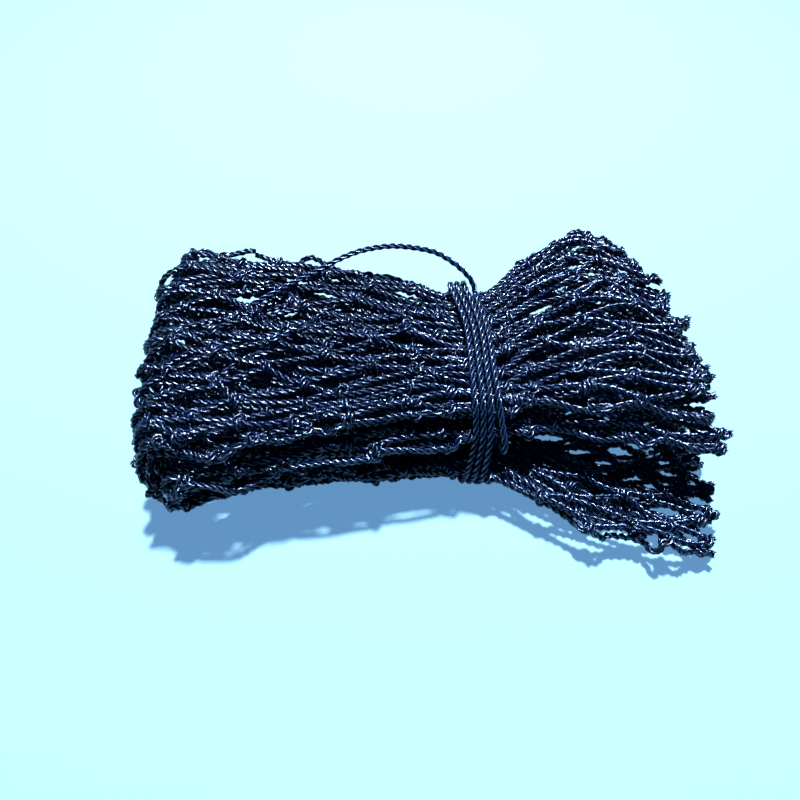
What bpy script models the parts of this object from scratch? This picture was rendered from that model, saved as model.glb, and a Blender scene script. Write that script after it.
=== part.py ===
"""Knotted fishing net, folded flat in a bundle and tied round its waist.

Four tiers of net lie on each other. The sheet is doubled along its back edge, which gives an outer
and an inner layer, and both turn down together at the left end. The cut ends lie at the right.
X runs along the bundle, Y from its front to its back, Z up. Lengths are in millimetres until they
are placed, and the part's origin is on the surface that it lies on, under the middle of the net.
"""
import math

import bmesh
import bpy
from mathutils import Matrix, Vector

MM = 0.001

# Net
TWINE = 4.0            # width and thickness of the strands
KNOT = 5.4             # width and thickness of a knot
TIP_MOST = 0.75        # longest reach of a knot's tip, as a share of a quarter mesh
MESHES_LONG = 11       # meshes along the folded sheet, from cut end to cut end
LAYER_STEPS = 12       # half meshes from the front edge to the back edge of a layer
BACK_STEPS = 2         # half meshes round the doubled back edge
BACK_BULGE = 6.0       # how far the doubled edge swells past the layers
CROWN = 2.0            # rise of a layer's middle over its edges
RIPPLE = 1.6           # rise and fall of the net between its folds
RIPPLE_LONG = 97.0     # wavelengths of the ripple along and across
RIPPLE_WIDE = 61.0
SWAY = 2.6             # sideways wander of the meshes
SWAY_ACROSS = 1.5      # waves of the wander across a layer
SWAY_ALONG = 0.37      # waves of the wander from section to section
FLOOR_Z = TWINE / 2    # height of the lowest layer's centre
CALM_RISE = 12.0       # the ripple grows to its full size over this height
HAND = 0.05            # share of a section over which a direction is read
FINE = 24              # readings from section to section where a curve's length is measured

# Cut ends
TAIL_LONG = 11.0
TAIL_VARY = 0.2        # share by which tails differ in length
TAIL_TAPER = 0.8       # share of the twine's size at the tip
TAIL_SPREAD = 24.0     # degrees that tails turn aside

# Tie
CORD = 4.0             # diameter of the tie
TURN_PITCH = 4.45      # from one turn to the next
CORD_HALVES = 2        # points of the turns to each row of their table
TAIL_STEP = 4.0        # from point to point on the loose cord
CORD_RINGS = 2         # bevel resolution, which gives eight sides

# Where the middle of the net's underside lies in the tables' measures
MIDDLE = Vector((-2.5, 6.08, 0.0))

# Sections of the outer layer, from the cut end over the top, down the left and back below:
# name, then x, y, z of its front edge and x, y, z of its back edge
OUTER = (
    ("top end",       152, -26, 67.0,  131, 100, 70.0),
    ("top right",     108, -24, 70.0,  102, 112, 72.5),
    ("top shoulder",   60, -27, 69.0,   60,  80, 71.5),
    ("top waist",      30, -31, 65.5,   30,  54, 66.5),
    ("top middle",    -24, -34, 70.0,  -22,  58, 72.5),
    ("top left",      -76, -47, 70.5,  -76,  73, 75.0),
    ("top far left", -124, -57, 71.0, -124,  86, 75.5),
    ("upper turn",   -160, -57, 70.5, -162,  84, 73.5),
    ("wall high",    -175, -56, 58.0, -177,  82, 60.0),
    ("wall",         -177, -62, 38.0, -177,  80, 38.0),
    ("wall low",     -173, -64, 15.0, -174,  79, 15.0),
    ("lower turn",   -156, -60,  4.0, -158,  78,  4.0),
    ("under left",   -112, -53,  2.0, -112,  74,  2.0),
    ("under middle",  -62, -48,  2.0,  -62,  68,  2.0),
    ("under rise",    -18, -46,  5.5,  -18,  57,  5.5),
    ("under waist",    28, -46,  9.5,   28,  50,  9.5),
    ("under dip",      62, -54,  4.5,   60,  64,  4.5),
    ("under right",   104, -68,  2.0,  100,  82,  2.0),
    ("under end",     156, -84,  2.0,  148,  84,  2.0),
)

# Sections of the inner layer, one for each of the outer layer's, with the same columns
INNER = (
    ("top end",       160, -57, 47.0,  150,  62, 50.0),
    ("top right",     112, -48, 48.5,  102,  82, 51.0),
    ("top shoulder",   64, -39, 48.5,   62,  68, 51.0),
    ("top waist",      30, -46, 48.0,   30,  50, 49.0),
    ("top middle",    -20, -51, 46.5,  -22,  52, 51.0),
    ("top left",      -69, -61, 46.0,  -72,  60, 53.0),
    ("top far left", -112, -73, 44.0, -114,  70, 54.0),
    ("upper turn",   -140, -80, 43.5, -142,  73, 53.5),
    ("wall high",    -153, -82, 39.5, -154,  73, 47.0),
    ("wall",         -156, -82, 33.5, -157,  72, 38.0),
    ("wall low",     -151, -79, 27.5, -153,  70, 29.0),
    ("lower turn",   -139, -72, 24.0, -141,  68, 24.0),
    ("under left",   -104, -60, 23.5, -104,  64, 23.0),
    ("under middle",  -58, -55, 24.0,  -58,  58, 23.5),
    ("under rise",    -18, -53, 25.0,  -18,  51, 26.0),
    ("under waist",    28, -58, 26.5,   28,  49, 27.5),
    ("under dip",      62, -78, 24.0,   60,  60, 26.0),
    ("under right",   108, -96, 17.0,  100,  72, 23.5),
    ("under end",     162, -110, 13.0, 156,  52, 22.0),
)

# One turn of the tie, from under the back edge round the front and over the top:
# name, then x, y, z of the first turn's centre, and how far y moves with each later turn
TURN = (
    ("below corner", 14.4,  55.0,  4.8,  0.0),
    ("below back",   14.5,  47.0,  3.7,  0.0),
    ("below",        14.5,   0.0,  3.15, 0.0),
    ("below front",  14.7, -37.0,  3.9,  0.0),
    ("front corner", 15.2, -49.2,  4.4, -0.3),
    ("front foot",   15.8, -52.2,  8.6, -0.5),
    ("front low",    17.2, -55.2, 26.0, -2.0),
    ("front",        19.8, -48.4, 48.2, -0.4),
    ("front high",   19.4, -41.2, 61.4,  0.0),
    ("top corner",   18.6, -36.6, 69.4,  0.0),
    ("top front",    18.3, -29.5, 71.7,  0.0),
    ("top rise",     18.2, -17.0, 73.5,  0.0),
    ("top",          17.2,  20.0, 74.4,  0.0),
    ("top back",     10.6,  50.5, 75.0,  0.4),
    ("back corner",   9.6,  60.6, 71.8,  0.6),
    ("back high",    10.4,  63.8, 63.6,  0.7),
    ("back",         18.0,  61.6, 38.0,  0.3),
    ("back low",     18.4,  60.8, 17.0,  0.0),
    ("back foot",    18.4,  58.4,  8.0,  0.0),
)
TURNS = 3

# The stretch that leads in: along the top, down the front, and in between the tiers to the back
LEAD_IN = (
    ("top back",     25.4,  46.8, 74.4),
    ("top",          30.6,  16.0, 73.6),
    ("top rise",     31.3, -16.0, 73.0),
    ("top front",    31.8, -28.0, 71.0),
    ("top corner",   32.4, -34.4, 68.4),
    ("front high",   34.2, -40.4, 61.0),
    ("front",        37.2, -51.0, 47.5),
    ("hook",         37.0, -50.0, 40.0),
    ("between",      33.6, -40.0, 37.0),
    ("middle",       25.0,   0.0, 37.0),
    ("far",          17.0,  40.0, 37.0),
    ("out",          13.7,  58.5, 33.5),
    ("back low",     13.9,  61.6, 22.0),
    ("back foot",    14.1,  60.4, 11.0),
)

# The loose loop and its free end, from the lead-in over the back edge and down on the top left
LOOSE = (
    ("foot",         25.2,  48.1, 74.5),
    ("lift",         24.2,  52.2, 76.8),
    ("over",         21.8,  55.4, 81.0),
    ("crossing",     17.0,  59.4, 84.4),
    ("rise",          9.6,  64.4, 87.8),
    ("high right",   -3.0,  70.6, 91.0),
    ("crest",       -26.0,  74.0, 92.5),
    ("high left",   -46.0,  72.5, 91.0),
    ("fall",        -62.0,  69.0, 87.0),
    ("touch",       -78.0,  62.0, 82.1),
    ("lying",       -94.0,  52.0, 80.2),
    ("end",        -117.0,  32.0, 80.3),
)


def clear_scene():
    for old in list(bpy.data.objects):
        bpy.data.objects.remove(old, do_unlink=True)


def make_collection(name):
    group = bpy.data.collections.new(name)
    bpy.context.scene.collection.children.link(group)
    return group


def make_material(name, colour, roughness):
    material = bpy.data.materials.new(name)
    material.use_nodes = True
    shader = material.node_tree.nodes["Principled BSDF"]
    shader.inputs["Base Color"].default_value = (*colour, 1.0)
    shader.inputs["Roughness"].default_value = roughness
    shader.inputs["Metallic"].default_value = 0.0
    material.diffuse_color = (*colour, 1.0)
    return material


def smooth_between(points, t):
    """Point at t on the smooth curve through the points, whose numbers are t's whole values."""
    last = len(points) - 1
    k = min(int(t), last - 1)
    u = t - k
    before = points[k - 1] if k else 2 * points[0] - points[1]
    after = points[k + 2] if k + 2 <= last else 2 * points[last] - points[last - 1]
    here, there = points[k], points[k + 1]
    return 0.5 * (2 * here + (there - before) * u
                  + (2 * before - 5 * here + 4 * there - after) * u * u
                  + (3 * here - before - 3 * there + after) * u ** 3)


def even_steps(points, count):
    """Curve values for count + 1 stations at even distances along the smooth curve."""
    fine = FINE * (len(points) - 1)
    values = [k / FINE for k in range(fine + 1)]
    walked = [0.0]
    for a, b in zip(values, values[1:]):
        walked.append(walked[-1] + (smooth_between(points, b) - smooth_between(points, a)).length)
    stations, k = [], 0
    for step in range(count + 1):
        goal = walked[-1] * step / count
        while k < fine - 1 and walked[k + 1] < goal:
            k += 1
        share = (goal - walked[k]) / (walked[k + 1] - walked[k])
        stations.append(values[k] + min(max(share, 0.0), 1.0) * (values[k + 1] - values[k]))
    return stations


OUTER_FRONT = [Vector(row[1:4]) for row in OUTER]
OUTER_BACK = [Vector(row[4:7]) for row in OUTER]
INNER_FRONT = [Vector(row[1:4]) for row in INNER]
INNER_BACK = [Vector(row[4:7]) for row in INNER]
OUTER_MIDDLE = [(a + b) / 2 for a, b in zip(OUTER_FRONT, OUTER_BACK)]
INNER_MIDDLE = [(a + b) / 2 for a, b in zip(INNER_FRONT, INNER_BACK)]


def layer_point(front, back, t, across):
    """Point of one layer at section value t, a share across of the way from front to back."""
    a, b = smooth_between(front, t), smooth_between(back, t)
    here = a.lerp(b, across)
    along = (smooth_between(front, min(t + HAND, len(front) - 1))
             - smooth_between(front, max(t - HAND, 0.0)))
    outward = (b - a).cross(along).normalized()
    calm = min(max((here.z - FLOOR_Z) / CALM_RISE, 0.0), 1.0)
    wave = math.sin(math.tau * here.x / RIPPLE_LONG + t) * math.sin(math.tau * here.y / RIPPLE_WIDE + 2 * t)
    lift = calm * (CROWN * (4 * across * (1 - across) - 0.5) + RIPPLE * wave)
    sway = SWAY * math.sin(math.tau * (across * SWAY_ACROSS + t * SWAY_ALONG))
    return here + outward * lift + (b - a).normalized() * sway * 4 * across * (1 - across)


OUTER_STATIONS = even_steps(OUTER_MIDDLE, 4 * MESHES_LONG)
INNER_STATIONS = even_steps(INNER_MIDDLE, 4 * MESHES_LONG)


def net_point(column, row):
    """Point at a quarter-mesh column; rows run over the outer layer, round its back, then inside."""
    outer, inner = OUTER_STATIONS[column], INNER_STATIONS[column]
    if row <= LAYER_STEPS:
        return layer_point(OUTER_FRONT, OUTER_BACK, outer, row / LAYER_STEPS)
    if row >= LAYER_STEPS + BACK_STEPS:
        share = 1 - (row - LAYER_STEPS - BACK_STEPS) / LAYER_STEPS
        return layer_point(INNER_FRONT, INNER_BACK, inner, share)
    turn = math.pi * (row - LAYER_STEPS) / BACK_STEPS
    start = layer_point(OUTER_FRONT, OUTER_BACK, outer, 1.0)
    finish = layer_point(INNER_FRONT, INNER_BACK, inner, 1.0)
    return start.lerp(finish, (1 - math.cos(turn)) / 2) + Vector((0, BACK_BULGE * math.sin(turn), 0))


def place(point):
    return (Vector(point) - MIDDLE) * MM


def frame_at(column, row):
    """Net point with its unit directions along the sheet, across it, and out of it."""
    last, rows = 4 * MESHES_LONG, 2 * LAYER_STEPS + BACK_STEPS
    here = net_point(column, row)
    along = net_point(min(column + 1, last), row) - net_point(max(column - 1, 0), row)
    across = net_point(column, min(row + 0.5, rows)) - net_point(column, max(row - 0.5, 0))
    out = along.cross(across).normalized()
    return here, along.normalized(), out.cross(along).normalized(), out


def net_sheet():
    """Open sheet of flat strands: a diamond at each knot, and two lengths of strand to each bar."""
    columns, rows = 2 * MESHES_LONG, 2 * LAYER_STEPS + BACK_STEPS
    bm = bmesh.new()
    weight = bm.verts.layers.deform.verify()
    thin = TWINE / KNOT

    def add(point, thick):
        """Point of the sheet, above the surface by half its own thickness or more."""
        height = max(point.z, FLOOR_Z)
        vertex = bm.verts.new(place((point.x, point.y, height)))
        vertex[weight][0] = min(thick, 2 * height / KNOT)
        return vertex

    def is_cell(column, row):
        return 0 < column < columns and 0 < row < rows

    knots = {}
    for column in range(columns + 1):
        for row in range(column % 2, rows + 1, 2):
            beside = [is_cell(column + 1, row), is_cell(column, row + 1),
                      is_cell(column - 1, row), is_cell(column, row - 1)]
            if not any(beside):
                continue
            here, along, across, _ = frame_at(2 * column, row)
            inner = 2 * column + (2 if column < columns else -2)
            half = (net_point(inner, row) - here).length
            rise = (net_point(2 * column, row + (1 if row < rows else -1)) - here).length
            slope = math.atan2(rise, half)
            long = min(TWINE / 2 / math.sin(slope), TIP_MOST * half / 2)
            wide = KNOT / 2 / math.cos(slope)
            knots[column, row] = [add(here + along * long, 1.0), add(here + across * wide, 1.0),
                                  add(here - along * long, 1.0), add(here - across * wide, 1.0)]

    for (column, row), (right, up, left, down) in knots.items():
        if 0 < column < columns:
            bm.faces.new((right, up, left, down))
        for side in (1, -1):
            far = knots.get((column + 1, row + side))
            if not far or not (is_cell(column + 1, row) or is_cell(column, row + side)):
                continue
            here, _, _, out = frame_at(2 * column + 1, row + side / 2)
            bar = net_point(2 * column + 2, row + side) - net_point(2 * column, row)
            aside = out.cross(bar).normalized() * (TWINE / 2)
            low, high = add(here - aside, thin), add(here + aside, thin)
            if side > 0:
                bm.faces.new((right, low, high, up))
                bm.faces.new((low, far[3], far[2], high))
            else:
                bm.faces.new((down, low, high, right))
                bm.faces.new((low, far[2], far[1], high))
        if column in (0, columns):
            add_cut_end(bm, add, (right, up, left, down), column == 0, row)
    mesh = bpy.data.meshes.new("net")
    bm.to_mesh(mesh)
    bm.free()
    return mesh


def add_cut_end(bm, add, knot, at_start, row):
    """End knot with its short cut tail, which turns a little aside."""
    right, up, left, down = knot
    tip, inside = (left, right) if at_start else (right, left)
    away = (tip.co - inside.co).normalized()
    aside = math.radians(TAIL_SPREAD) * math.sin(2.4 * row + at_start)
    away = Matrix.Rotation(aside, 3, 'Z') @ away
    across = (up.co - down.co).normalized() * (TWINE / 2)
    here = tip.co / MM + MIDDLE
    end = here + away * TAIL_LONG * (1 - TAIL_VARY + TAIL_VARY * math.cos(1.3 * row))
    tip.co = place(here + across)
    low = add(here - across, 1.0)
    far_high, far_low = (add(end + across * side, TAIL_TAPER * TWINE / KNOT)
                         for side in (TAIL_TAPER, -TAIL_TAPER))
    if at_start:
        bm.faces.new((right, up, tip, low, down))
        bm.faces.new((low, tip, far_high, far_low))
    else:
        bm.faces.new((tip, up, left, down, low))
        bm.faces.new((tip, low, far_low, far_high))


def make_net(group, material):
    mesh = net_sheet()
    mesh.materials.append(material)
    net = bpy.data.objects.new("net", mesh)
    net.vertex_groups.new(name="thickness")
    group.objects.link(net)
    strands = net.modifiers.new("strands", 'SOLIDIFY')
    strands.thickness = KNOT * MM
    strands.offset = 0.0
    strands.vertex_group = "thickness"
    return net


def make_cord(name, route, stations, group, material):
    """Round cord on a poly spline, read at its stations from the smooth curve through the route."""
    curve = bpy.data.curves.new(name, 'CURVE')
    curve.dimensions = '3D'
    curve.bevel_depth = CORD * MM / 2
    curve.bevel_resolution = CORD_RINGS
    curve.use_fill_caps = True
    spline = curve.splines.new('POLY')
    spline.points.add(len(stations) - 1)
    for target, t in zip(spline.points, stations):
        target.co = (*place(smooth_between(route, t)), 1.0)
    curve.materials.append(material)
    cord = bpy.data.objects.new(name, curve)
    group.objects.link(cord)
    return cord


def turns_route():
    route = [Vector(row[1:]) for row in LEAD_IN]
    for turn in range(TURNS):
        route += [Vector((x + turn * TURN_PITCH, y + turn * aside, z)) for _, x, y, z, aside in TURN]
    return route


def build():
    clear_scene()
    group = make_collection("folded_fishing_net")
    twine = make_material("net_twine", (0.012, 0.016, 0.034), 0.32)
    cord = make_material("tie_cord", (0.014, 0.019, 0.042), 0.32)
    loose_cord = make_material("loose_cord", (0.014, 0.019, 0.042), 0.32)
    make_net(group, twine)
    turns = turns_route()
    halves = [k / CORD_HALVES for k in range(CORD_HALVES * (len(turns) - 1) + 1)]
    make_cord("tie_turns", turns, halves, group, cord)
    loose = [Vector(row[1:]) for row in LOOSE]
    length = sum((b - a).length for a, b in zip(loose, loose[1:]))
    make_cord("tie_loose_end", loose, even_steps(loose, round(length / TAIL_STEP)), group, loose_cord)


build()
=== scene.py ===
"""Looks of a knotted fishing net, folded flat in a bundle and tied round its waist with a cord.

One net is pleated back and forth into plies, which turn down together at the left end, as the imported
solid does. Each ply is made of twisted strands that zigzag along the bundle, with a knot wherever two
neighbours meet. X runs along the bundle, Y from its front to its back, Z up. The tables and sizes are
in millimetres, measured from a corner of the layout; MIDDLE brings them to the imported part's origin.
"""
import math

import bpy
import numpy as np
from mathutils import Euler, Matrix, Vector


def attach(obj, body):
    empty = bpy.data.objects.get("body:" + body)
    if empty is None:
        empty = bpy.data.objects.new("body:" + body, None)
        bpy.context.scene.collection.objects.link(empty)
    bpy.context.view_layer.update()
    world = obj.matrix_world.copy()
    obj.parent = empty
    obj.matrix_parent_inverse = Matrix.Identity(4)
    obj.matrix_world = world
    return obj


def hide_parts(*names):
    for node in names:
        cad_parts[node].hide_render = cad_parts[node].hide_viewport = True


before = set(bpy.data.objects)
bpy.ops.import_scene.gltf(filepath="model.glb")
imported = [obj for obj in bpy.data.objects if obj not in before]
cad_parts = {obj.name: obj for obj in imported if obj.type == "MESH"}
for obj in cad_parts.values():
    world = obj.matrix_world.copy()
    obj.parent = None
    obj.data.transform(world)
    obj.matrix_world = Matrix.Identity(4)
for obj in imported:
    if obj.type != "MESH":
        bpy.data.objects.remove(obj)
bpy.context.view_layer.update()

MM = 0.001
MIDDLE = np.array((-2.5, 6.08, 0.0))

# Sections of the outermost ply, from the cut end over the top, down the left and back below:
# name, then x, y, z of its front edge and x, y, z of its back edge
OUTER = (
    ("top end",       152, -26, 67.0,  131, 100, 70.0),
    ("top right",     108, -24, 70.0,  102, 112, 72.5),
    ("top shoulder",   60, -27, 69.0,   60,  80, 71.5),
    ("top waist",      30, -31, 65.5,   30,  54, 66.5),
    ("top middle",    -24, -34, 70.0,  -22,  58, 72.5),
    ("top left",      -76, -47, 70.5,  -76,  73, 75.0),
    ("top far left", -124, -57, 71.0, -124,  86, 75.5),
    ("upper turn",   -160, -57, 70.5, -162,  84, 73.5),
    ("wall high",    -175, -56, 58.0, -177,  82, 60.0),
    ("wall",         -177, -62, 38.0, -177,  80, 38.0),
    ("wall low",     -173, -64, 15.0, -174,  79, 15.0),
    ("lower turn",   -156, -60,  4.0, -158,  78,  4.0),
    ("under left",   -112, -53,  2.0, -112,  74,  2.0),
    ("under middle",  -62, -48,  2.0,  -62,  68,  2.0),
    ("under rise",    -18, -46,  5.5,  -18,  57,  5.5),
    ("under waist",    28, -46,  9.5,   28,  50,  9.5),
    ("under dip",      62, -54,  4.5,   60,  64,  4.5),
    ("under right",   104, -68,  2.0,  100,  82,  2.0),
    ("under end",     156, -84,  2.0,  148,  84,  2.0),
)

# Sections of the innermost ply, one for each of the outermost's, with the same columns
INNER = (
    ("top end",       160, -57, 47.0,  150,  62, 50.0),
    ("top right",     112, -48, 48.5,  102,  82, 51.0),
    ("top shoulder",   64, -39, 48.5,   62,  68, 51.0),
    ("top waist",      30, -46, 48.0,   30,  50, 49.0),
    ("top middle",    -20, -51, 46.5,  -22,  52, 51.0),
    ("top left",      -69, -61, 46.0,  -72,  60, 53.0),
    ("top far left", -112, -73, 44.0, -114,  70, 54.0),
    ("upper turn",   -140, -80, 43.5, -142,  73, 53.5),
    ("wall high",    -153, -82, 39.5, -154,  73, 47.0),
    ("wall",         -156, -82, 33.5, -157,  72, 38.0),
    ("wall low",     -151, -79, 27.5, -153,  70, 29.0),
    ("lower turn",   -139, -72, 24.0, -141,  68, 24.0),
    ("under left",   -104, -60, 23.5, -104,  64, 23.0),
    ("under middle",  -58, -55, 24.0,  -58,  58, 23.5),
    ("under rise",    -18, -53, 25.0,  -18,  51, 26.0),
    ("under waist",    28, -58, 26.5,   28,  49, 27.5),
    ("under dip",      62, -78, 24.0,   60,  60, 26.0),
    ("under right",   108, -96, 17.0,  100,  72, 23.5),
    ("under end",     162, -110, 13.0, 156,  52, 22.0),
)

# One turn of the tie, from under the back edge round the front and over the top:
# name, then x, y, z of the first turn's centre, and how far y moves with each later turn
TURN = (
    ("below corner", 14.4,  55.0,  4.8,  0.0),
    ("below back",   14.5,  47.0,  3.7,  0.0),
    ("below",        14.5,   0.0,  3.15, 0.0),
    ("below front",  14.7, -37.0,  3.9,  0.0),
    ("front corner", 15.2, -49.2,  4.4, -0.3),
    ("front foot",   15.8, -52.2,  8.6, -0.5),
    ("front low",    17.2, -55.2, 26.0, -2.0),
    ("front",        19.8, -48.4, 48.2, -0.4),
    ("front high",   19.4, -41.2, 61.4,  0.0),
    ("top corner",   18.6, -36.6, 69.4,  0.0),
    ("top front",    18.3, -29.5, 71.7,  0.0),
    ("top rise",     18.2, -17.0, 73.5,  0.0),
    ("top",          17.2,  20.0, 74.4,  0.0),
    ("top back",     10.6,  50.5, 75.0,  0.4),
    ("back corner",   9.6,  60.6, 71.8,  0.6),
    ("back high",    10.4,  63.8, 63.6,  0.7),
    ("back",         18.0,  61.6, 38.0,  0.3),
    ("back low",     18.4,  60.8, 17.0,  0.0),
    ("back foot",    18.4,  58.4,  8.0,  0.0),
)
TURNS = 3
TURN_PITCH = 4.45

# The stretch that leads in: along the top, down the front, and in between the tiers to the back
LEAD_IN = (
    ("top back",     25.4,  46.8, 74.4),
    ("top",          30.6,  16.0, 73.6),
    ("top rise",     31.3, -16.0, 73.0),
    ("top front",    31.8, -28.0, 71.0),
    ("top corner",   32.4, -34.4, 68.4),
    ("front high",   34.2, -40.4, 61.0),
    ("front",        37.2, -51.0, 47.5),
    ("hook",         37.0, -50.0, 40.0),
    ("between",      33.6, -40.0, 37.0),
    ("middle",       25.0,   0.0, 37.0),
    ("far",          17.0,  40.0, 37.0),
    ("out",          13.7,  58.5, 33.5),
    ("back low",     13.9,  61.6, 22.0),
    ("back foot",    14.1,  60.4, 11.0),
)

# The loose loop and its free end, from the lead-in over the back edge and down on the top left
LOOSE = (
    ("foot",         25.2,  48.1, 74.5),
    ("lift",         24.2,  52.2, 76.8),
    ("over",         21.8,  55.4, 81.0),
    ("crossing",     17.0,  59.4, 84.4),
    ("rise",          9.6,  64.4, 87.8),
    ("high right",   -3.0,  70.6, 91.0),
    ("crest",       -26.0,  74.0, 92.5),
    ("high left",   -46.0,  72.5, 91.0),
    ("fall",        -62.0,  69.0, 87.0),
    ("touch",       -78.0,  62.0, 82.1),
    ("lying",       -94.0,  52.0, 80.2),
    ("end",        -117.0,  32.0, 80.3),
)

# Net
PLIES = 5              # from the outermost to the innermost, joined at the back and front edges by turns
PLY_SIDES = (9, 6, 6, 6, 6)   # corners round the strands of each ply, most where they show most
PLY_ROWS = 16          # rows of knots across a ply
COLUMNS = 25           # half meshes along the folded net, from cut end to cut end
BAR_RINGS = 14         # rings of each strand from knot to knot
TWINE = 4.7            # diameter over a strand's lobes
LOBES = 3
VALLEY = 0.64          # share of the radius at the grooves between the lobes
LAY = 15.0             # length of one full twist
GRIP = 1.7             # distance of a strand from the middle of its knots
EASE = 0.35            # rounding of the zigzag's corners
BULGE = (4.5, 2.8)     # how far a fold's nose swells past the back edge, and past the front one
WAIST_X = 28.0         # the tie's middle, and how far along the bundle it squeezes the net
WAIST_REACH = 30.0
WAIST_SHRINK = 0.45    # share by which it flattens knots and unevenness there
CROWN = 2.0            # rise of a ply's middle over its edges
RIPPLE = 1.6           # height of the ripples in a ply, and their lengths along and across it
RIPPLE_LONG = 97.0
RIPPLE_WIDE = 61.0
UNEVEN = np.array((2.4, 1.5, 1.5))   # spread of the knots' places along, across and out of the net
SLACK = np.array((0.0, 1.0, 1.2))    # spread of the bars' bows between them
EDGE_CROWD = 0.28      # share by which rows lie closer at the edges, and wider apart in the middle
EDGE_WANDER = 1.3      # sideways wander of a ply's edges
ROW_DRIFT = 0.24       # how far whole rows are drawn along the bundle, as a share of a half mesh
FRONT_POWER = 0.8      # how the plies' edges spread from the outermost's to the innermost's
BACK_POWER = 2.5
PLY_SHARES = (0, 0.15, 0.32, 0.83, 1.0)   # how far each ply lies from the outermost to the innermost
MEASURED = 24          # points from section to section where a ply's length is measured
NEAR = 0.05            # sections to either side of a point between which its direction is taken
NEAR_COLUMN = 0.2      # the same for the net's own directions, in columns and in rows
NEAR_ROW = 0.3
CALM_HIGH = 12.0       # height over the floor at which crown and ripples reach their full size
WANDER = (0.9, 2.1, 2.0)    # radians of an edge's wander for each section and ply, and across a ply
DRIFT_WAVES = ((1.0, 0.83, 0.0), (0.6, 2.3, 0.15))    # share, radians a row and radians a column
DRIFT_CHANCE = 0.09    # spread of single knots along the bundle, as a share of a half mesh
DRIFT_FREE = 2         # columns from a cut end over which knots become free to drift
CHANCE_LIMIT = 2       # most that a chance value strays, in spreads

# Shape of the turned wall and the cut ends
WALL_SWELL = 9.0       # how far the turned wall at the left stands out behind its front corner
WALL_AT = 7.6          # the section where it does so most, and over how many sections
WALL_LONG = 1.7
WALL_FRONT = 0.4       # share of a ply's width, from its front edge, over which the swell grows
TOP_SWELL = np.array((8.0, 0.0, 0.0))     # how far the middle of the upper cut end stands out
END_SWELL = np.array((14.0, 0.0, 0.0))    # how far the middle of the lower cut end stands out
END_PULL = np.array((-10.0, 9.0, 0.0))    # how far the front corner of the lower cut end is drawn in
END_FROM = 1.6         # sections before the lower cut end where its shape begins
END_LONG = 1.6         # sections over which the shape of a cut end comes and goes

# Knots
KNOT_TURNS = 1.45      # turns of the wrap round a knot
KNOT_RINGS = 23
KNOT_WIDE = 3.0        # half width and half thickness of the wrap's middle line
KNOT_THICK = 2.6
KNOT_PITCH = 3.6       # how far each turn advances
KNOT_TWINE = 0.92      # a wrap's thickness as a share of the strands'
KNOT_LEAN = 1.3        # most that a wrap leans out of the strands' direction, in radians
KNOT_TUCK = 0.4        # share of the wrap's size at its tucked ends, and turns over which they tuck in
KNOT_TUCK_LONG = 0.28
KNOT_SIZES = (0.9, 1.12)    # least and largest wrap, as shares of the usual one
KNOT_SLANT = 0.3       # how far a wrap's turns slant along the strands, as a share of their width

# Cut ends
TAIL_RINGS = 4
TAIL_LONG = 5.0        # length of a cut strand past its last knots
TAIL_LENGTHS = (0.6, 1.25)    # shortest and longest, as shares of that
TAIL_ASIDE = 0.28      # spread of how far a tail turns aside, as a share of its length
TAIL_FLARE = 0.16      # share by which a tail swells to its frayed end
TUFT = 7               # filament bundles that spread from a cut strand
TUFT_LONG = 2.8        # length of each bundle
TUFT_LENGTHS = (0.6, 1.2)     # shortest and longest, as shares of that
TUFT_WIDE = 1.0        # half width of each bundle where it leaves the strand
TUFT_RING = 1.3        # distance of the bundles from the strand's middle line; every third lies nearer
TUFT_CORE = 0.3
TUFT_SUNK = 0.9        # how deep a bundle starts inside the strand
TUFT_SWAY = 0.4        # most that a bundle strays round the strand, in radians
TUFT_SPREAD = 0.55     # most that it leans outward, as a share of its length
TUFT_TONE = 0.8        # its place between the twine's dark colour and its light one

# Tie
CORD = 4.0             # diameter
CORD_LAY = 16.5        # length of one full twist
CORD_SIDES = 12
CORD_STEP = 1.1        # distance from ring to ring
FACING_TURN = 40.0     # length over which the loose loop's cross direction turns to the vertical
JOIN_ROUNDS = 4        # rounds of smoothing, which close the join of the loose loop and the turns
CORD_MEASURED = 40     # points from place to place where the cord's length is measured

# Looks of the twine, for the most part as socket values of its nodes
LOBE_POWER = 0.5       # how round the shading of a lobe is between its grooves
GROOVE_SHADE_SHARE = 0.25    # share of the dark colour that is left in the grooves, as painted shade
TONE_SHARE = 0.55      # how much a strand's own tone counts beside its patches
FILAMENT_STRETCH = (46.0, 3.2, 1.0)    # filaments round a strand, and their breaks along a full twist
FILAMENT_NOISE = {"Scale": 1.0, "Detail": 3.0, "Roughness": 0.6}
PATCH_NOISE = {"Scale": 60.0, "Detail": 2.0}
ROUGHNESS = {"From Min": 0.3, "From Max": 0.7, "To Min": 0.18, "To Max": 0.30}
LOBE_BUMP = {"Strength": 1.0, "Distance": 0.0012}
FILAMENT_BUMP = {"Strength": 0.5, "Distance": 0.0001}
TWINE_GLOSS = {"IOR": 1.6, "Specular Tint": (0.43, 0.68, 1.0, 1), "Anisotropic": 0.85,
               "Anisotropic Rotation": 0.25}
CORD_DARK, CORD_LIGHT, CORD_GLOSS = (0.0004, 0.003, 0.012), (0.0015, 0.010, 0.045), 1.0
NET_DARK, NET_LIGHT, NET_GLOSS = (0.0001, 0.001, 0.005), (0.0004, 0.004, 0.025), 0.92

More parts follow.
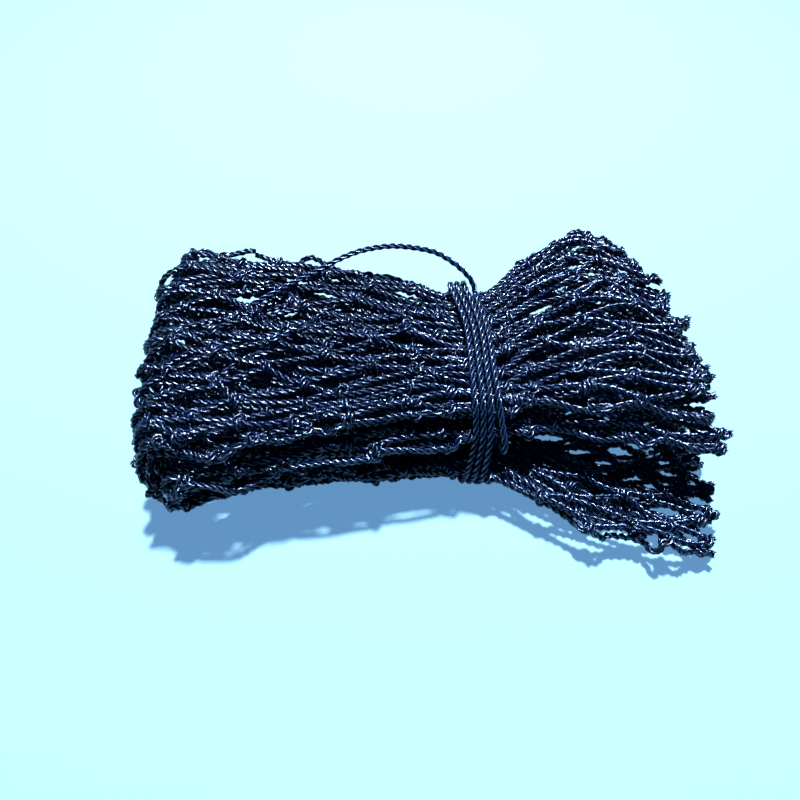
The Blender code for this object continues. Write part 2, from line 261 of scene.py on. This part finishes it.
# Studio, in metres
FLOOR_SIZE = 6.0
# The floor's emission is a painted glow, which lifts the net's shadow on it to a light blue.
FLOOR_LOOKS_AND_GLOW = {"Base Color": (0.082, 0.168, 0.19, 1), "Emission Color": (0.122, 0.295, 0.533, 1),
               "Emission Strength": 1.0, "Roughness": 0.9, "Specular IOR Level": 0.1}
SKY = {"Color": (0.12, 0.36, 1.0, 1), "Strength": 0.12}
KEY_AT = (0.0, 0.82, 2.0)
KEY_AIM = (0, 0, 0.04)
KEY_SIZE = 0.15
KEY_POWER = 310        # watts
KEY_COLOUR = (1.0, 0.95, 1.0)
CAMERA_AT = (-0.0225, -0.2291, 0.330)
CAMERA_TILT = 36.9     # degrees up from straight down
SENSOR_WIDE = 36       # millimetres, as the lens
LENS = 25.38
SHIFT = (0.0019, -0.0106)     # shares of the picture's width, sideways and upward

rng = np.random.default_rng(11)


def place(points):
    """Points of the layout in millimetres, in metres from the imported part's origin."""
    return (np.asarray(points, float) - MIDDLE) * MM


def unit(vectors):
    """The vectors, each of length 1."""
    return vectors / np.maximum(np.linalg.norm(vectors, axis=-1, keepdims=True), 1e-9)


def smooth(points, t):
    """Points at values t of the smooth curve through the given ones, which lie at t's whole values."""
    ends = np.vstack([2 * points[:1] - points[1:2], points, 2 * points[-1:] - points[-2:-1]])
    k = np.clip(np.floor(t).astype(int), 0, len(points) - 2)
    u = (t - k)[..., None]
    before, here, there, after = (ends[k + i] for i in range(4))
    return 0.5 * (2 * here + (there - before) * u
                  + (2 * before - 5 * here + 4 * there - after) * u * u
                  + (3 * here - before - 3 * there + after) * u ** 3)


def lengths_along(line):
    """Distance walked along a line to each of its points."""
    return np.concatenate([[0], np.cumsum(np.linalg.norm(np.diff(line, axis=0), axis=1))])


def chance(*shape):
    """Normal chance values, none of them far out."""
    return rng.normal(0, 1, shape).clip(-CHANCE_LIMIT, CHANCE_LIMIT)


def edges_of(table):
    """Front and back edge of a table of sections."""
    numbers = np.array([row[1:] for row in table], float)
    return numbers[:, :3], numbers[:, 3:]


def column_values(front, back):
    """Section values of the columns, at even distances along the middle of a ply."""
    values = np.linspace(0, len(front) - 1, MEASURED * (len(front) - 1) + 1)
    walked = lengths_along(smooth((front + back) / 2, values))
    return np.interp(np.linspace(0, walked[-1], COLUMNS + 1), walked, values)


OUTER_FRONT, OUTER_BACK = edges_of(OUTER)
INNER_FRONT, INNER_BACK = edges_of(INNER)
PLY_FRONT, PLY_BACK, PLY_COLUMNS = [], [], []
for number in range(PLIES):
    share = PLY_SHARES[number]
    PLY_FRONT.append(OUTER_FRONT + (INNER_FRONT - OUTER_FRONT) * (share, share ** FRONT_POWER, share))
    PLY_BACK.append(OUTER_BACK + (INNER_BACK - OUTER_BACK) * (share, share ** BACK_POWER, share))
    PLY_COLUMNS.append(column_values(PLY_FRONT[-1], PLY_BACK[-1]))


def squeeze(x):
    """1 where the tie grips the net, falling to 0 away from it."""
    return np.exp(-((x - WAIST_X) / WAIST_REACH) ** 2)


def ply_point(ply, column, across):
    """Points of one ply at columns, a share across of the way from its front to its back edge."""
    t = np.interp(column, np.arange(COLUMNS + 1), PLY_COLUMNS[ply])
    front, back = smooth(PLY_FRONT[ply], t), smooth(PLY_BACK[ply], t)
    wide = unit(back - front)
    here = front + (back - front) * across[..., None]
    last = len(PLY_FRONT[ply]) - 1
    at_top = np.clip(1 - t / END_LONG, 0, 1)[..., None]
    at_end = np.clip((t - last + END_FROM) / END_LONG, 0, 1)[..., None]
    arch = np.sin(math.pi * across[..., None])
    here = here + at_end * (END_PULL * (1 - across[..., None]) ** 3 + END_SWELL * arch)
    here = here + at_top * TOP_SWELL * arch
    at_wall = np.exp(-((t - WALL_AT) / WALL_LONG) ** 2)
    here[..., 0] -= WALL_SWELL * at_wall * np.clip(across / WALL_FRONT, 0, 1)
    along = smooth(PLY_FRONT[ply], t + NEAR) - smooth(PLY_FRONT[ply], t - NEAR)
    outward = unit(np.cross(wide, along))
    calm = np.clip((here[..., 2] - TWINE / 2) / CALM_HIGH, 0, 1) * (1 - squeeze(here[..., 0]))
    wave = (np.sin(math.tau * here[..., 0] / RIPPLE_LONG + t + ply)
            * np.sin(math.tau * here[..., 1] / RIPPLE_WIDE + 2 * t + 2 * ply))
    lift = calm * (CROWN * (4 * across * (1 - across) - 0.5) + RIPPLE * wave)
    by_section, by_ply, over_width = WANDER
    wander = EDGE_WANDER * np.sin(by_section * t + by_ply * ply + over_width * across)
    wander *= 1 - squeeze(here[..., 0])
    return here + outward * lift[..., None] + wide * wander[..., None]


def fold_point(column, row):
    """Points of the pleated net: rows run over one ply, round a fold's nose, and back over the next."""
    found = np.zeros((*column.shape, 3))
    for ply in range(PLIES):
        here = np.clip(np.floor(row / PLY_ROWS), 0, PLIES - 1) == ply
        if not here.any():
            continue
        local = row[here] - ply * PLY_ROWS
        columns = column[here]
        across = np.clip(local / (PLY_ROWS - 1), 0, 1)
        across = 1 - across if ply % 2 else across
        across = across - EDGE_CROWD * np.sin(math.tau * across) / math.tau
        point = ply_point(ply, columns, across)
        if ply < PLIES - 1:
            turn = math.pi * np.clip(local - PLY_ROWS + 1, 0, 1)[:, None]
            nose = (-1) ** ply * BULGE[ply % 2] * (1 - squeeze(point[:, :1]))
            following = ply_point(ply + 1, columns, across)
            point = point + (following - point) * (1 - np.cos(turn)) / 2
            point[:, 1:2] += nose * np.sin(turn)
        found[here] = point
    return found


ROWS = PLIES * PLY_ROWS - 1
ROW_NUMBERS = np.arange(ROWS + 1)[:, None]
COLUMN_NUMBERS = np.arange(COLUMNS + 2)[None, :]
DRIFT = (ROW_DRIFT * sum(share * np.sin(by_row * ROW_NUMBERS + by_column * COLUMN_NUMBERS)
                         for share, by_row, by_column in DRIFT_WAVES)
         + DRIFT_CHANCE * chance(ROWS + 1, COLUMNS + 2))
DRIFT *= np.clip(np.minimum(COLUMN_NUMBERS, COLUMNS - COLUMN_NUMBERS) / DRIFT_FREE, 0, 1)
KNOT_SHIFT = chance(ROWS + 1, COLUMNS + 2, 3) * UNEVEN
BAR_BOW = chance(ROWS, COLUMNS + 1, 3) * SLACK


def directions(column, row):
    """Unit vectors along the net's strands, across them, and out of the net."""
    near, far = (np.clip(column + step, 0, COLUMNS) for step in (-NEAR_COLUMN, NEAR_COLUMN))
    along = unit(fold_point(far, row) - fold_point(near, row))
    low, high = (np.clip(row + step, 0, ROWS) for step in (-NEAR_ROW, NEAR_ROW))
    across = unit(fold_point(column, high) - fold_point(column, low))
    out = unit(np.cross(along, across))
    return along, np.cross(out, along), out


def shifted(point, frames, shift):
    """Points moved along, across and out of the net, less where the tie grips it."""
    along, across, out = frames
    ease = (1 - WAIST_SHRINK * squeeze(point[..., :1]))
    return point + ease * (along * shift[..., :1] + across * shift[..., 1:2] + out * shift[..., 2:])


def above_floor(points, least):
    """The points, with none of them lower than the least height."""
    points[..., 2] = np.maximum(points[..., 2], least)
    return points


def strand_lines(strands):
    """Middle lines of the strands and the net's outward direction along each."""
    column = np.linspace(0, COLUMNS, COLUMNS * BAR_RINGS + 1)[None, :].repeat(len(strands), 0)
    strand = np.asarray(strands)[:, None]
    cell = np.minimum(np.floor(column).astype(int), COLUMNS - 1)
    part = column - cell
    start, finish = (cell + strand) % 2, (cell + 1 + strand) % 2
    eased = part - EASE * np.sin(math.tau * part) / math.tau
    zigzag = start * (1 - eased) + finish * eased
    row = strand + zigzag
    soft = (part * part * (3 - 2 * part))[..., None]
    column = column + (DRIFT[strand + start, cell] * (1 - soft[..., 0])
                       + DRIFT[strand + finish, cell + 1] * soft[..., 0])
    frames = directions(column, row)
    shift = (KNOT_SHIFT[strand + start, cell] * (1 - soft) + KNOT_SHIFT[strand + finish, cell + 1] * soft
             + BAR_BOW[strand, cell] * np.sin(math.pi * part)[..., None])
    shift[..., 1] += GRIP * (1 - 2 * zigzag)
    line = shifted(fold_point(column, row), frames, shift)
    return line, frames[2]


def with_tails(line, out):
    """The lines with a cut tail at both ends, which goes on as the bar did and turns aside."""
    count = len(line)
    step = np.arange(1, TAIL_RINGS + 1)[None, :, None] / TAIL_RINGS
    tails = []
    for end, near in ((0, 3), (-1, -4)):
        away = unit(line[:, end] - line[:, near])[:, None]
        aside = rng.normal(0, TAIL_ASIDE, (count, 1, 3))
        long = TAIL_LONG * rng.uniform(*TAIL_LENGTHS, (count, 1, 1))
        tails.append(line[:, end][:, None] + long * (away * step + aside * step ** 2))
    before, after = out[:, :1].repeat(TAIL_RINGS, 1), out[:, -1:].repeat(TAIL_RINGS, 1)
    return (np.concatenate([tails[0][:, ::-1], line, tails[1]], axis=1),
            np.concatenate([before, out, after], axis=1))


def knot_lines(rows):
    """Middle lines of the wraps round the knots on these rows, and the direction out of each wrap."""
    places = [(column, row) for row in rows for column in range(COLUMNS + 1) if (column + row) % 2 == 0]
    column, row = (np.array(values) for values in zip(*places))
    drawn, level = column + DRIFT[row, column], row.astype(float)
    frames = directions(drawn, level)
    centre = shifted(fold_point(drawn, level), frames, KNOT_SHIFT[row, column])
    count = len(places)
    along, across, out = (vector[:, None] for vector in frames)
    flat = 1 - WAIST_SHRINK * squeeze(centre[:, None, :1])
    turn = np.linspace(0, KNOT_TURNS, KNOT_RINGS)[None, :, None]
    ends = np.minimum(turn, KNOT_TURNS - turn) / KNOT_TUCK_LONG
    size = (KNOT_TUCK + (1 - KNOT_TUCK) * np.clip(ends, 0, 1)) * rng.uniform(*KNOT_SIZES, (count, 1, 1))
    angle = math.tau * (turn + rng.uniform(0, 1, (count, 1, 1)))
    hand = np.where(rng.uniform(0, 1, (count, 1, 1)) < 0.5, -1, 1)
    lean = KNOT_LEAN * rng.uniform(0, 1, (count, 1, 1)) * rng.choice((-1, 1), (count, 1, 1)) * flat
    axis = np.cos(lean) * along + np.sin(lean) * out
    rise = np.cos(lean) * out - np.sin(lean) * along
    wide = KNOT_WIDE * size * np.cos(angle) * hand
    thick = KNOT_THICK * size * np.sin(angle) * flat
    advance = KNOT_PITCH * (turn - KNOT_TURNS / 2) + KNOT_SLANT * wide * hand
    line = centre[:, None] + axis * advance + across * wide + rise * thick
    return line, across * wide + rise * thick


def tubes(lines, reference, radius, lay, sides, begin=None):
    """Twisted strands round many lines with the same number of rings.

    Returns points, side faces, cap faces, UVs of the sides and a tone for each point. The reference
    directions are where a ring's first corner would lie without the twist. Each twist begins at a
    chance angle, or where a strand goes on, at the given one.
    """
    count, rings = lines.shape[:2]
    begin = rng.uniform(0, math.tau, (count, 1)) if begin is None else begin
    forward = unit(np.gradient(lines, axis=1))
    side = unit(reference - (reference * forward).sum(-1, keepdims=True) * forward)
    up = np.cross(forward, side)
    walked = np.zeros((count, rings))
    walked[:, 1:] = np.cumsum(np.linalg.norm(np.diff(lines, axis=1), axis=2), axis=1)
    turn = math.tau * walked / lay + begin
    corner = np.arange(sides)
    angle = turn[..., None] + math.tau * corner / sides
    profile = VALLEY + (1 - VALLEY) * (0.5 + 0.5 * np.cos(LOBES * math.tau * corner / sides))
    reach = (np.broadcast_to(radius, (count, rings))[..., None] * profile)[..., None]
    points = lines[:, :, None] + reach * (np.cos(angle)[..., None] * side[:, :, None]
                                          + np.sin(angle)[..., None] * up[:, :, None])
    ring = np.arange(count * rings).reshape(count, rings)[:, :-1, None] * sides
    after = (corner + 1) % sides
    quads = np.stack([ring + corner, ring + after, ring + sides + after, ring + sides + corner], -1)
    first = np.arange(count)[:, None] * rings * sides
    caps = np.concatenate([first + corner[::-1], first + (rings - 1) * sides + corner])
    u = np.broadcast_to(corner / sides, quads.shape[:3])
    v = walked[:, :, None] / lay
    low, high = (np.broadcast_to(v[:, part], quads.shape[:3]) for part in (slice(None, -1), slice(1, None)))
    uvs = np.stack([np.stack([u, low], -1), np.stack([u + 1 / sides, low], -1),
                    np.stack([u + 1 / sides, high], -1), np.stack([u, high], -1)], -2)
    tone = np.broadcast_to(rng.uniform(0, 1, (count, 1, 1)), points.shape[:3])
    return (points.reshape(-1, 3), quads.reshape(-1, 4), caps, uvs.reshape(-1, 2), tone.reshape(-1))


def tufts(lines):
    """Frayed filaments at both ends of the lines, as slim three-sided spikes."""
    points, faces = [], []
    for end, near in ((0, 1), (-1, -2)):
        tip = lines[:, end]
        away = unit(tip - lines[:, near])
        side = unit(np.cross(away, (0.3, 0.2, 1.0)))
        up = np.cross(away, side)
        for number in range(TUFT):
            angle = math.tau * number / TUFT + rng.uniform(-TUFT_SWAY, TUFT_SWAY, (len(lines), 1))
            outward = np.cos(angle) * side + np.sin(angle) * up
            spread = rng.uniform(0.0, TUFT_SPREAD, (len(lines), 1))
            long = TUFT_LONG * rng.uniform(*TUFT_LENGTHS, (len(lines), 1))
            foot = tip + outward * (TUFT_RING if number % 3 else TUFT_CORE) - away * TUFT_SUNK
            peak = foot + long * unit(away + outward * spread)
            level = np.cross(away, outward) * TUFT_WIDE
            inward = -0.5 * TUFT_WIDE * outward
            base = [foot + TUFT_WIDE * outward, foot + level + inward, foot - level + inward]
            start = sum(len(block) for block in points)
            points.append(np.stack([*base, peak], 1).reshape(-1, 3))
            corner = start + 4 * np.arange(len(lines))[:, None]
            faces.append(np.concatenate([corner + (0, 1, 3), corner + (1, 2, 3),
                                         corner + (2, 0, 3), corner + (2, 1, 0)]))
    return np.concatenate(points), np.concatenate(faces)


def make_piece(name, bundles, spikes, material):
    """Mesh object of several sets of tubes and, if given, spikes."""
    points, faces, ends, uvs, tones, start = [], [], [], [], [], 0
    for block, sides, caps, side_uvs, tone in bundles:
        points.append(block)
        faces += (sides + start).tolist()
        ends += (caps + start).tolist()
        uvs.append(side_uvs)
        tones.append(tone)
        start += len(block)
    if spikes:
        points.append(spikes[0])
        ends += (spikes[1] + start).tolist()
        tones.append(np.full(len(spikes[0]), TUFT_TONE))
    faces += ends
    uvs.append(np.zeros((sum(len(face) for face in ends), 2)))
    mesh = bpy.data.meshes.new(name)
    mesh.from_pydata(place(above_floor(np.concatenate(points), 0.0)).tolist(), [], faces)
    mesh.uv_layers.new(name="twist").data.foreach_set("uv", np.concatenate(uvs).ravel().astype(np.float32))
    mesh.attributes.new("tone", 'FLOAT', 'POINT').data.foreach_set(
        "value", np.concatenate(tones).astype(np.float32))
    mesh.shade_smooth()
    mesh.materials.append(material)
    piece = bpy.data.objects.new(name, mesh)
    bpy.context.scene.collection.objects.link(piece)
    return piece


def set_values(node, values):
    for socket, value in values.items():
        node.inputs[socket].default_value = value


def feed(tree, socket, value):
    """Link a node's output to the socket, or set the socket to a value."""
    if isinstance(value, bpy.types.NodeSocket):
        tree.links.new(value, socket)
    else:
        socket.default_value = value


def maths(tree, operation, *values):
    node = tree.nodes.new("ShaderNodeMath")
    node.operation = operation
    for socket, value in zip(node.inputs, values):
        feed(tree, socket, value)
    return node.outputs[0]


def mixed(tree, share, first, second):
    node = tree.nodes.new("ShaderNodeMix")
    node.data_type = 'RGBA'
    for socket, value in (("Factor", share), ("A", first), ("B", second)):
        feed(tree, node.inputs[socket], value)
    return node.outputs["Result"]


def noise(tree, vector, values):
    node = tree.nodes.new("ShaderNodeTexNoise")
    set_values(node, values)
    tree.links.new(vector, node.inputs["Vector"])
    return node.outputs["Fac"]


def bump(tree, height, values):
    node = tree.nodes.new("ShaderNodeBump")
    set_values(node, values)
    tree.links.new(height, node.inputs["Height"])
    return node


def twine_material(name, dark, light, gloss):
    """Glossy twisted filament twine: lobes with painted shade in the grooves between them, and fine
    filaments along each lobe.
    """
    material = bpy.data.materials.new(name)
    material.use_nodes = True
    tree = material.node_tree
    shader = tree.nodes["Principled BSDF"]

    uv = tree.nodes.new("ShaderNodeUVMap")
    uv.uv_map = "twist"
    split = tree.nodes.new("ShaderNodeSeparateXYZ")
    tree.links.new(uv.outputs["UV"], split.inputs[0])
    wave = maths(tree, 'COSINE', maths(tree, 'MULTIPLY', split.outputs["X"], LOBES * math.tau))
    lobe = maths(tree, 'POWER', maths(tree, 'MULTIPLY_ADD', wave, 0.5, 0.5), LOBE_POWER)

    stretch = tree.nodes.new("ShaderNodeMapping")
    stretch.inputs["Scale"].default_value = FILAMENT_STRETCH
    tree.links.new(uv.outputs["UV"], stretch.inputs["Vector"])
    filaments = noise(tree, stretch.outputs["Vector"], FILAMENT_NOISE)
    patches = noise(tree, tree.nodes.new("ShaderNodeTexCoord").outputs["Object"], PATCH_NOISE)
    tone = tree.nodes.new("ShaderNodeAttribute")
    tone.attribute_name = "tone"
    blend = maths(tree, 'MULTIPLY_ADD', tone.outputs["Fac"], TONE_SHARE, patches)
    colour = mixed(tree, blend, (*dark, 1), (*light, 1))
    # Painted shade: the base colour darkens from each lobe's crest down into the grooves between the lobes.
    painted_groove_shade = (*(part * GROOVE_SHADE_SHARE for part in dark), 1)
    tree.links.new(mixed(tree, lobe, painted_groove_shade, colour), shader.inputs["Base Color"])

    rough = tree.nodes.new("ShaderNodeMapRange")
    set_values(rough, ROUGHNESS)
    tree.links.new(filaments, rough.inputs["Value"])
    tree.links.new(rough.outputs["Result"], shader.inputs["Roughness"])
    # The reflection weakens into the grooves by the same lobe mask, also as painted shade.
    tree.links.new(maths(tree, 'MULTIPLY', lobe, gloss), shader.inputs["Specular IOR Level"])
    lengthwise = tree.nodes.new("ShaderNodeTangent")
    lengthwise.direction_type = 'UV_MAP'
    lengthwise.uv_map = "twist"
    tree.links.new(lengthwise.outputs["Tangent"], shader.inputs["Tangent"])
    set_values(shader, TWINE_GLOSS)

    filament_bump = bump(tree, filaments, FILAMENT_BUMP)
    tree.links.new(bump(tree, lobe, LOBE_BUMP).outputs["Normal"], filament_bump.inputs["Normal"])
    tree.links.new(filament_bump.outputs["Normal"], shader.inputs["Normal"])
    return material


def make_ply(ply, material):
    """One ply of the net: its strands, the turn of strands to the next ply, its knots and cut ends."""
    strands = [row for row in range(ROWS) if row // PLY_ROWS == ply]
    rows = [row for row in range(ROWS + 1) if min(row // PLY_ROWS, PLIES - 1) == ply]
    line, out = with_tails(*strand_lines(strands))
    above_floor(line, TWINE / 2)
    wraps, wrap_out = knot_lines(rows)
    above_floor(wraps, TWINE / 2)
    flare = np.ones(line.shape[1])
    flare[:TAIL_RINGS] += TAIL_FLARE * np.linspace(1, 0, TAIL_RINGS)
    flare[-TAIL_RINGS:] += TAIL_FLARE * np.linspace(0, 1, TAIL_RINGS)
    sides = PLY_SIDES[ply]
    bundles = [tubes(line, out, TWINE / 2 * flare, LAY, sides),
               tubes(wraps, wrap_out, KNOT_TWINE * TWINE / 2, LAY, sides)]
    piece = make_piece(f"net_ply_{ply + 1}", bundles, tufts(line), material)
    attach(piece, "root")
    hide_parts("net")
    return piece


def even_line(table, step):
    """Points about a step apart on the smooth curve through a route."""
    route = np.array(table, float)
    line = smooth(route, np.linspace(0, len(route) - 1, CORD_MEASURED * (len(route) - 1) + 1))
    walked = lengths_along(line)
    goals = np.linspace(0, walked[-1], round(walked[-1] / step) + 1)
    return np.stack([np.interp(goals, walked, line[:, axis]) for axis in range(3)], 1)


def make_cord(name, line, facing, begin, material):
    """One stretch of the tie, whose twist begins at the given angle."""
    made = tubes(line[None], facing[None], CORD / 2, CORD_LAY, CORD_SIDES, begin=begin)
    piece = make_piece(name, [made], None, material)
    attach(piece, "root")
    return piece


def make_tie(material):
    """The tie's loose loop with its free end, which goes on as its turns round the waist."""
    turns = [row[1:] for row in LEAD_IN]
    for turn in range(TURNS):
        turns += [(x + turn * TURN_PITCH, y + turn * aside, z) for _, x, y, z, aside in TURN]
    free = even_line([row[1:] for row in LOOSE[::-1]], CORD_STEP)
    foot = len(free) - 1
    line = np.vstack([free, even_line(turns, CORD_STEP)])
    for _ in range(JOIN_ROUNDS):
        line[1:-1] = (line[:-2] + 2 * line[1:-1] + line[2:]) / 4
    level = np.clip((foot - np.arange(len(line))) * CORD_STEP / FACING_TURN, 0, 1)[:, None]
    facing = (1 - level) * (1.0, 0.0, 0.0) + level * (0.0, 0.0, 1.0)
    wound = make_cord("tie_turns_twisted", line[foot:], facing[foot:], 0.0, material)
    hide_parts("tie_turns")
    loose_line = line[:foot + 1]
    length = float(np.linalg.norm(np.diff(loose_line, axis=0), axis=1).sum())
    begin = -math.tau * length / CORD_LAY
    loose = make_cord("tie_loose_twisted", loose_line, facing[:foot + 1], begin, material)
    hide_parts("tie_loose_end")


def make_floor():
    """The pale floor, which glows a little as painted light, so that the net's shadow on it is a light
    blue.
    """
    bpy.ops.mesh.primitive_plane_add(size=FLOOR_SIZE, location=(0, 0, 0))
    floor = bpy.context.object
    floor.name = "floor"
    material = bpy.data.materials.new("pale_floor")
    material.use_nodes = True
    set_values(material.node_tree.nodes["Principled BSDF"], FLOOR_LOOKS_AND_GLOW)
    floor.data.materials.append(material)


def make_lights():
    """A small key light behind the bundle, and a weak blue sky."""
    data = bpy.data.lights.new("key", 'AREA')
    data.size = KEY_SIZE
    data.energy = KEY_POWER
    data.color = KEY_COLOUR
    light = bpy.data.objects.new("key", data)
    light.location = KEY_AT
    light.rotation_euler = (Vector(KEY_AIM) - Vector(KEY_AT)).to_track_quat('-Z', 'Y').to_euler()
    bpy.context.scene.collection.objects.link(light)
    world = bpy.data.worlds.new("studio")
    world.use_nodes = True
    set_values(world.node_tree.nodes["Background"], SKY)
    bpy.context.scene.world = world


def make_camera():
    data = bpy.data.cameras.new("camera")
    data.sensor_width = SENSOR_WIDE
    data.lens = LENS
    data.shift_x, data.shift_y = SHIFT
    camera = bpy.data.objects.new("camera", data)
    camera.location = CAMERA_AT
    camera.rotation_euler = Euler((math.radians(CAMERA_TILT), 0, 0))
    bpy.context.scene.collection.objects.link(camera)
    bpy.context.scene.camera = camera


make_camera()
make_lights()
make_floor()
bpy.context.scene.view_settings.view_transform = 'Standard'
make_tie(twine_material("tie_cord_twisted", CORD_DARK, CORD_LIGHT, CORD_GLOSS))
net_twine = twine_material("net_twine_twisted", NET_DARK, NET_LIGHT, NET_GLOSS)
plies = [make_ply(ply, net_twine) for ply in range(PLIES)]
